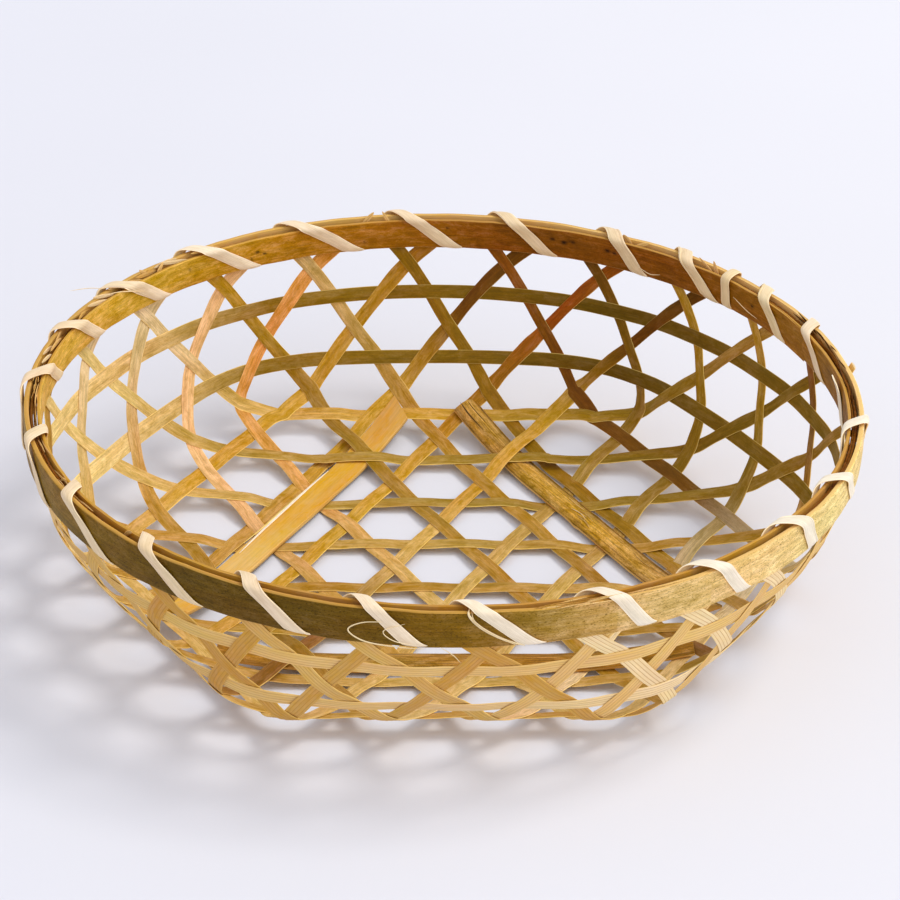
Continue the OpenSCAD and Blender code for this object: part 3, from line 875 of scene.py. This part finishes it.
# Inset from the rim's outer face, drop below the top, turn of the face's normal, share of a wrap
LASH_OUTLINE = np.array([
    [0, 0, 60, 0.0], [0, 0, 15, 0.02],
    [0, OUTER_H * 0.35, 0, 0.15], [0, OUTER_H * 0.7, 0, 0.27],
    [0, OUTER_H, -15, 0.39], [0, OUTER_H, -60, 0.41],
    [RIM_T, INNER_H + 0.3, -120, 0.50], [RIM_T, INNER_H + 0.3, -165, 0.52],
    [RIM_T, INNER_H * 0.65, -180, 0.63], [RIM_T, INNER_H * 0.3, -180, 0.73],
    [RIM_T, 0.3, -195, 0.82], [RIM_T, 0.3, -240, 0.84],
])
# Strands split off the lashing: first and last turn, place beside it in mm, width
STRANDS = [(3.55, 4.35, 3.1, 0.9), (4.5, 5.2, -2.9, 1.0), (5.55, 6.3, 2.9, 0.8), (1.5, 2.3, 2.8, 0.9),
           (12.0, 12.5, 3.0, 0.8), (15.9, 16.5, 2.9, 0.9), (20.8, 21.5, 3.0, 1.0), (9.6, 10.2, 2.8, 0.7)]
# Loose fibres of the lashing: places as for rim_sliver, then width
LOOSE = [
    ([(271.6, 2.0, -0.6), (271.6, -0.7, 0.8), (273.2, -1.0, 5.0), (276.0, -1.1, 9.4),
      (278.6, -0.8, 12.2)], 0.9),
    ([(271.9, 1.6, -0.4), (272.2, -1.5, 2.0), (274.4, -1.9, 6.6), (277.5, -1.2, 11.6)], 0.5),
    ([(262.0, -0.8, 3.5), (258.4, -1.4, 4.2), (256.6, -2.2, 7.0), (258.8, -2.4, 10.4), (263.4, -1.4, 12.2),
      (266.0, -0.9, 12.6)], 0.45),
    ([(263.6, -0.6, 4.0), (261.0, -1.6, 6.5), (262.2, -1.8, 9.6), (265.0, -1.2, 11.4)], 0.3),
    ([(268.0, -0.6, 12.0), (269.6, -1.0, 14.6), (270.6, -2.4, 16.6)], 0.3),
    ([(33.0, 6.4, 9.0), (35.0, 7.8, 7.0), (38.0, 8.0, 4.4)], 0.3),
    ([(57.0, 6.6, 8.0), (54.5, 8.2, 8.6), (52.5, 8.6, 7.4)], 0.25),
    ([(147.0, 1.0, -0.8), (148.6, -3.0, -1.6), (150.4, -8.0, -1.2)], 0.25),
    ([(150.0, 3.0, -0.6), (147.5, 6.5, -1.4), (144.0, 8.2, 1.0), (141.0, 7.4, 4.0)], 0.35),
]
LOOSE_T = 0.22


def soften(values, reach):
    """Gaussian smoothing of evenly spaced rows, ends held."""
    width = int(4 * reach)
    kernel = np.exp(-0.5 * (np.arange(-width, width + 1) / reach) ** 2)
    kernel /= kernel.sum()
    padded = np.pad(values, ((width, width), (0, 0)), mode="edge")
    return np.stack([np.convolve(padded[:, k], kernel, mode="valid") for k in range(values.shape[1])], 1)


def wrap_angle(turns):
    """Angle round the rim after a number of wraps: over the top as listed, and below through an open mesh."""
    tops = np.array(WRAP_TOPS + [WRAP_TOPS[0] + 360.0])
    below = tops[:-1] + (LASH_UNDER - LASH_TOP) * np.diff(tops)
    opening = np.round((below + LASH_TWIST) / MESH_TURN) * MESH_TURN - LASH_TWIST
    below = below + np.clip(opening - below, -LASH_SEEK, LASH_SEEK)
    number = np.arange(WRAPS)
    knots = np.stack([number + LASH_TOP, number + LASH_UNDER], 1).ravel()
    angles = np.stack([tops[:-1], below], 1).ravel()
    return np.interp(turns, np.append(knots, WRAPS + LASH_TOP), np.append(angles, tops[-1]))


def lash_path():
    """Way along the splint, and its angle, inset, drop and turn of the normal there."""
    rows = []
    for wrap in range(WRAPS):
        for inset, drop, tilt, share in LASH_OUTLINE:
            gap = LASH_GAP + LASH_ARCH * (drop < 1)
            rows.append([wrap_angle(wrap + share), inset - gap * cosd(tilt), drop - gap * sind(tilt),
                         tilt - 360 * wrap])
    rows = np.array(rows[1:-1])
    length = path_length(rim_point(rows[:, 0], rows[:, 1], RIM_TOP - rows[:, 2]))
    even = np.arange(0, length[-1], LASH_STEP)
    return even, soften(np.stack([np.interp(even, length, rows[:, k]) for k in range(4)], 1), LASH_SOFT)


def lash_band(shape, even, rows, width, offset, share, seed, taper=0.0):
    """One band of splint along the lashing's path; offset moves it along the rim, in mm."""
    angle = rows[:, 0] + np.degrees(offset / (RIM_LENGTH / 2))
    centre = rim_point(angle, rows[:, 1], RIM_TOP - rows[:, 2])
    along = rim_along(angle)
    direction = unit(np.gradient(centre, axis=0))
    stretch = 1 / np.maximum(0.45, np.linalg.norm(np.cross(direction, along), axis=1))
    up = unit(rim_outward(angle) * cosd(rows[:, 3])[:, None] + UP * sind(rows[:, 3])[:, None])
    wide = stretch * (1 + LASH_UNEVEN * wobble(even, seed, (61, 37, 17)))
    if taper:
        x = np.linspace(0, 1, len(even))
        wide = wide * np.clip(np.minimum(x, 1 - x) / taper, 0.12, 1)
    share = np.clip(share + 0.02 * wobble(even, seed + 1, (97, 53, 31)), 0, 1)
    section = split_section(width, LASH_T, LASH_CROWN, min(LASH_EDGE, width * 0.2), groove=0.03, grooves=3)
    tone, pith = ramp(LASH_TONES, share), ramp(LASH_PITHS, share)
    sweep(shape, centre, -along, up, section, tone, pith, seed, wide=wide)


def lashing():
    even, rows = lash_path()
    shape = Shape()
    samples = np.linspace(0, WRAPS, 100 * WRAPS)
    turns = np.interp(rows[:, 0], wrap_angle(samples), samples)
    lash_band(shape, even, rows, LASH_W, 0.0, turns / WRAPS, 61)
    for k, (first, last, offset, width) in enumerate(STRANDS):
        part = (turns >= first) & (turns <= last)
        lash_band(shape, even[part], rows[part], width, offset, turns[part] / WRAPS, 620 + 2 * k, taper=0.25)
    for k, (points, width) in enumerate(LOOSE):
        rim_sliver(shape, points, width, LOOSE_T, "cream", 640 + k)
    shape.build("rim_lashing_splint", lash_bamboo, "rim_lashing", "lashing")


lashing()


# ---------- base slats ----------
SLAT_RINGS = 190
SLAT_EDGE = 0.3
SLAT_UNEVEN = 0.03
# A skewed cut reaches this far into a slat; thickness of the slivers on it
CUT_REACH = 16.0
SLAT_SLIVER_T = 0.35


def slat_line(name):
    direction, shift = SLAT_PLACES[name]
    along = np.linspace(-0.5, 0.5, SLAT_RINGS) * SLAT_LENGTH + shift * PITCH
    height = SLAT_Z + SLAT_T / 2 + slat_rise(along)
    flat = np.stack([along, np.full_like(along, -SLAT_OUT * PITCH), height], -1)
    cos, sin = cosd(direction), sind(direction)
    turn = np.array([[cos, sin, 0], [-sin, cos, 0], [0, 0, 1]])
    return flat @ turn


def slat(name, skin_up, material, slot, tones, piths, seed, crown, end_shear=(0.0, 0.0), knots=(), slivers=(),
         shade=0.0):
    """A base slat. end_shear skews its two cut ends; shade is painted shade, darkening its skin towards the
    long sides with a slight painted highlight along the middle, as light falls on a rounded culm.

    knots lists place and width of its raised node bands; slivers lists places (along the slat, across it,
    above its middle), width and tone."""
    centre = slat_line(name)
    across, up = frame_along(centre, np.broadcast_to(UP, centre.shape))
    section = split_section(SLAT_W, SLAT_T, crown, SLAT_EDGE, groove=0.05, grooves=5, top_points=13)
    if not skin_up:
        section = [(x, h, 1 - skin_share, *rest) for x, h, skin_share, *rest in section]
    x = np.linspace(-0.5, 0.5, len(centre)) * SLAT_LENGTH
    first, last = smooth(x + SLAT_LENGTH / 2, 0, CUT_REACH), smooth(SLAT_LENGTH / 2 - x, 0, CUT_REACH)
    shear = end_shear[0] * (1 - first) + end_shear[1] * (1 - last)
    bump = sum([np.exp(-((x - place) / width) ** 2) for place, width in knots], np.zeros_like(x))
    wide = 1 + SLAT_UNEVEN * wobble(x, seed + 5, (90, 40, 17)) + 0.04 * bump
    share = x / SLAT_LENGTH + 0.5
    tone = ramp(tones, share) * (1 - 0.25 * bump[:, None])
    # Painted shade across the slat: darker towards the long sides, a little lighter along the middle as a
    # painted highlight
    outwards = np.array([abs(row[0]) / (SLAT_W / 2) for row in section])
    tone = tone[:, None] * (1 + 0.1 * shade - shade * outwards ** 3)[None, :, None]
    shape = Shape()
    sweep(shape, centre, across, up, section, tone, ramp(piths, share), seed, wide=wide, thick=1 + 0.3 * bump,
          shear=shear)
    whole = np.arange(len(x))
    for k, (points, width, tone_name) in enumerate(slivers):
        places = smooth_curve(points)
        index = np.interp(places[:, 0], x, whole)
        base = np.stack([np.interp(index, whole, centre[:, j]) for j in range(3)], 1)
        beside = np.stack([np.interp(index, whole, across[:, j]) for j in range(3)], 1)
        base = base + beside * places[:, 1:2] + UP * places[:, 2:3]
        sliver(shape, base, np.broadcast_to(UP, base.shape), width, SLAT_SLIVER_T, tone_name, seed + 20 + k)
    shape.build(f"slat_{name}_bamboo", material, f"slat_{name}", slot)


slat("left", False, slat_bamboo, "slat_pale", "olive", "honey gold gold straw gold", 701,
     0.12, end_shear=(-0.86, 0.1), slivers=[
         ([(-34, 4.9, 0.9), (-20, 4.8, 1.2), (-4, 4.5, 1.3), (14, 4.2, 1.25), (30, 3.6, 1.1)], 1.0, "ivory"),
         ([(-26, 5.1, 0.8), (-8, 5.2, 1.2), (10, 5.0, 1.4), (24, 5.3, 1.5)], 0.6, "lemon"),
     ])
slat("right", True, culm_bamboo, "slat_skin", "ochre honey gold gold ochre honey",
     "straw", 702, 1.6, end_shear=(0.0, 0.25), knots=[(-3.0, 2.0)], slivers=[
         ([(79, -1.6, 0.9), (72, -1.9, 0.92), (63, -1.5, 0.93)], 0.5, "deep"),
         ([(79, 1.4, 0.9), (74, 1.2, 0.92), (66, 1.6, 0.93)], 0.5, "deep"),
         ([(-9, -2.4, 1.0), (-5, -1.6, 1.15), (-1, -1.9, 1.25)], 0.4, "wheat"),
         ([(-7, 0.6, 1.1), (-3, 1.2, 1.3), (3, 0.8, 1.2)], 0.45, "straw"),
         ([(-4, -0.8, 1.2), (0, -0.2, 1.35), (5, -0.9, 1.15)], 0.35, "cream"),
         ([(2, 2.6, 0.8), (7, 2.2, 0.95), (12, 2.7, 0.85)], 0.35, "wheat"),
         ([(-46, 1.5, 1.05), (-38, 0.9, 1.1), (-31, 1.4, 1.05)], 0.3, "straw"),
     ], shade=0.5)
slat("front", True, culm_bamboo, "slat_front", "toffee ochre toffee toffee", "honey", 703, 1.1,
     shade=0.3)


# ---------- floor, light and camera ----------
# Half the floor's side, and the X over which its colour goes from painted shade on the left to brighter on
# the right, in metres
FLOOR_REACH = 6.0
FLOOR_FADE = 0.35
# Painted light falloff: the floor is darker and more lavender on the left, brighter on the right
FLOOR_LEFT = (0.68, 0.685, 0.75, 1)
FLOOR_RIGHT = (0.775, 0.775, 0.82, 1)
WORLD_COLOUR = (0.92, 0.94, 1.0, 1)
WORLD_STRENGTH = 0.80
SUN_COLOUR = (1.0, 0.97, 0.92)
# Camera: elevation, azimuth and roll in degrees; distance and shifts in pitches of the weave
CAMERA_ANGLES = (30.507, -2.292, 1.272)
CAMERA_PLACE = (40.2366, -0.0964, -1.2291)
SENSOR_WIDTH = 36.0
FOCAL_LENGTH = 150.8


def floor():
    mesh = bpy.data.meshes.new("floor")
    corners = [(-1, -1), (1, -1), (1, 1), (-1, 1)]
    mesh.from_pydata([(x * FLOOR_REACH, y * FLOOR_REACH, 0) for x, y in corners], [], [(0, 1, 2, 3)])
    tree = Tree("floor_paper")
    place = tree.node("ShaderNodeTexCoord").outputs["Object"]
    cloud = tree.noise(place, (2.5, 2.5, 2.5), detail=2.0)
    side = tree.ranged(tree.node("ShaderNodeSeparateXYZ", {0: place}).outputs[0], -FLOOR_FADE, FLOOR_FADE)
    colour = tree.shade(tree.mix(side, FLOOR_LEFT, FLOOR_RIGHT), tree.ranged(cloud, 0.3, 0.7, 0.98, 1.02))
    tree.shader({"Base Color": colour, "Roughness": 0.85, "Specular IOR Level": 0.2})
    mesh.materials.append(tree.material)
    add_object("floor", mesh)


def sun(name, energy, spread, azimuth, elevation):
    lamp = bpy.data.lights.new(name, "SUN")
    lamp.energy = energy
    lamp.angle = math.radians(spread)
    lamp.color = SUN_COLOUR
    z = np.array([cosd(azimuth) * cosd(elevation), sind(azimuth) * cosd(elevation), sind(elevation)])
    x = unit(np.cross(UP, z))
    aim(add_object(name, lamp), x, np.cross(z, x), z)


def light():
    world = bpy.data.worlds.new("studio")
    bpy.context.scene.world = world
    world.use_nodes = True
    background = world.node_tree.nodes["Background"].inputs
    background["Color"].default_value = WORLD_COLOUR
    background["Strength"].default_value = WORLD_STRENGTH
    sun("key", energy=1.15, spread=24, azimuth=18, elevation=57)
    sun("front", energy=0.8, spread=60, azimuth=-42, elevation=40)


def camera():
    """Looks down on the basket from the front."""
    elevation, azimuth, roll = map(math.radians, CAMERA_ANGLES)
    distance, shift_x, shift_y = CAMERA_PLACE
    level = math.cos(elevation)
    back = np.array([math.sin(azimuth) * level, -math.cos(azimuth) * level, math.sin(elevation)])
    right = np.array([math.cos(azimuth), math.sin(azimuth), 0.0])
    up = np.cross(back, right)
    x = math.cos(roll) * right + math.sin(roll) * up
    y = -math.sin(roll) * right + math.cos(roll) * up
    place = (distance * back - shift_x * x - shift_y * y) * PITCH + BASE_Z * UP
    lens = bpy.data.cameras.new("camera")
    lens.sensor_width = SENSOR_WIDTH
    lens.lens = FOCAL_LENGTH
    lens.clip_end = 30.0
    eye = add_object("camera", lens)
    aim(eye, x, y, back, place * MM)
    bpy.context.scene.camera = eye


floor()
light()
camera()
bpy.context.scene.view_settings.view_transform = "Standard"
